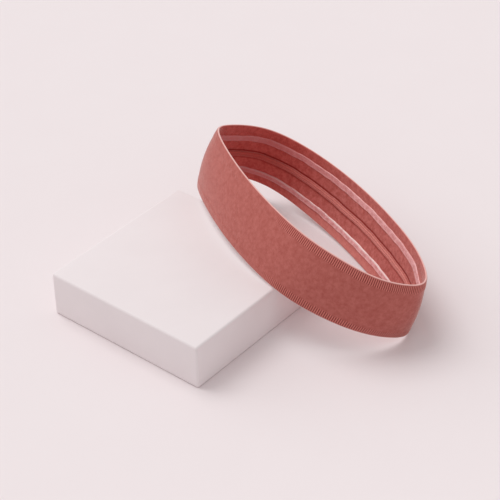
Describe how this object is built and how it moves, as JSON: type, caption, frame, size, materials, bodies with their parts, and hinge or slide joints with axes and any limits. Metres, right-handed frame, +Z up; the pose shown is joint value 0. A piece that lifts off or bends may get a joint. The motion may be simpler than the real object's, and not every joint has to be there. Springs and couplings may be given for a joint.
{
  "type": "slim textured headband on a square display block",
  "caption": "Slim stretch-knit headband, ribbed along both edges, with silicone grip strips and a raised welt inside, standing on edge as an open loop against a low square display block.",
  "frame": {"origin": "bottom centre of the whole part's box, on the surface that the block and the loop stand on", "axes": "+Z up, +X and +Y along the block's sides; the loop stands beyond the block's +X side"},
  "size_m": [0.2106, 0.2146, 0.084],
  "materials": {
    "knit": "matt stretch jersey in dusty rose, with finely ribbed borders",
    "welt_knit": "matt knit, raised",
    "silicone": "translucent pinkish silicone with a soft sheen",
    "block_paint": "matt, pale warm white"
  },
  "bodies": {
    "root": {"knit_band": "knit", "centre_welt": "welt_knit", "grip_strip_upper": "silicone", "grip_strip_lower": "silicone", "display_block": "block_paint"}
  },
  "joints": []
}
